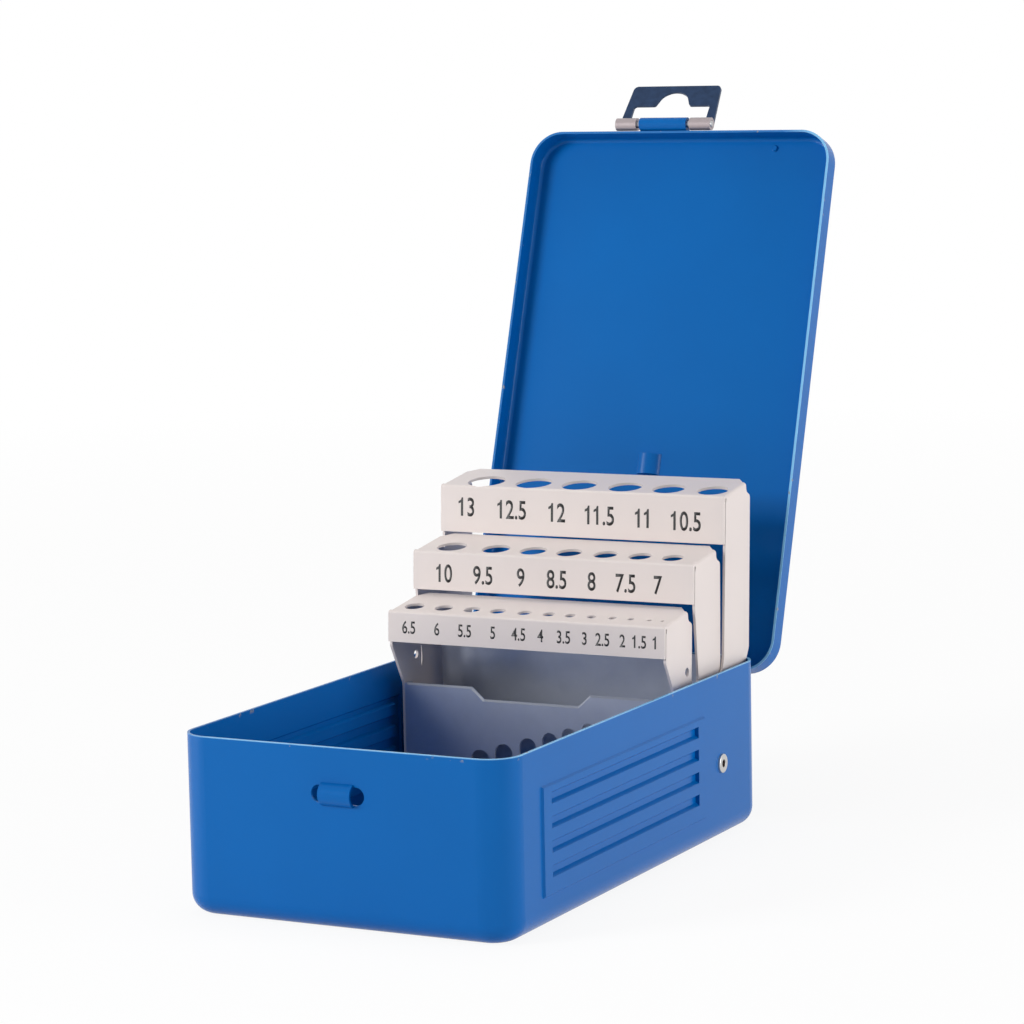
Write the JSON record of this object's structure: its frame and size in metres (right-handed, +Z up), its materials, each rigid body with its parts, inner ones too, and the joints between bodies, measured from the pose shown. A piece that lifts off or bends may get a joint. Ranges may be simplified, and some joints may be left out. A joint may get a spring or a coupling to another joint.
{
  "type": "drill index case",
  "caption": "Hinged sheet metal drill bit index case in blue enamel, open, with folding cream tiers of graded holes and a sprung clasp",
  "frame": {"origin": "middle of the underside, on the surface the case stands on", "axes": "+X across the case to the right seen from the front, +Y from the front wall to the hinge, +Z up"},
  "size_m": [0.1172, 0.2771, 0.2505],
  "materials": {
    "blue_enamel": "glossy",
    "cream_enamel": "satin",
    "bright_steel": "satin",
    "dark_plated_steel": "glossy"
  },
  "bodies": {
    "base": {"base_pan": "blue_enamel", "base_hinge_leaf": "blue_enamel", "hinge_pin": "bright_steel", "base_hinge_rivets": "bright_steel", "left_pivot_rivet": "bright_steel", "right_pivot_rivet": "bright_steel", "wall_spacers": "bright_steel"},
    "lid": {"lid_pan": "blue_enamel", "lid_hinge_leaf": "blue_enamel", "lid_hinge_rivets": "bright_steel", "clasp_bracket": "blue_enamel", "clasp_pin": "bright_steel"},
    "clasp": {"clasp": "dark_plated_steel"},
    "front_rack": {"front_tier": "cream_enamel", "front_tip_plate": "cream_enamel", "front_tip_rivets": "cream_enamel"},
    "middle_rack": {"middle_tier": "cream_enamel", "middle_tip_plate": "cream_enamel", "middle_tip_rivets": "cream_enamel"},
    "rear_rack": {"rear_tier": "cream_enamel", "rear_tip_plate": "cream_enamel", "rear_tip_rivets": "cream_enamel"}
  },
  "joints": [
    {"name": "lid_hinge", "type": "hinge", "parent": "base", "child": "lid", "pos_m": [0, 0.0992, 0.049], "axis": [1, 0, 0], "range_deg": [0, 108.4]},
    {"name": "clasp_hinge", "type": "hinge", "parent": "lid", "child": "clasp", "pos_m": [-0.007, 0.16489, 0.23697], "axis": [1, 0, 0], "range_deg": [-60, 110]},
    {"name": "front_rack_pivot", "type": "hinge", "parent": "base", "child": "front_rack", "pos_m": [0, 0.0618, 0.0264], "axis": [1, 0, 0], "range_deg": [0, 81]},
    {"name": "middle_rack_pivot", "type": "hinge", "parent": "base", "child": "middle_rack", "pos_m": [0, 0.0618, 0.0264], "axis": [1, 0, 0], "range_deg": [0, 88]},
    {"name": "rear_rack_pivot", "type": "hinge", "parent": "base", "child": "rear_rack", "pos_m": [0, 0.0618, 0.0264], "axis": [1, 0, 0], "range_deg": [0, 94]}
  ],
  "couplings": [
    {"joint": "front_rack_pivot", "follows": "lid_hinge", "ratio": 0.7472},
    {"joint": "middle_rack_pivot", "follows": "lid_hinge", "ratio": 0.8118},
    {"joint": "rear_rack_pivot", "follows": "lid_hinge", "ratio": 0.8671}
  ]
}
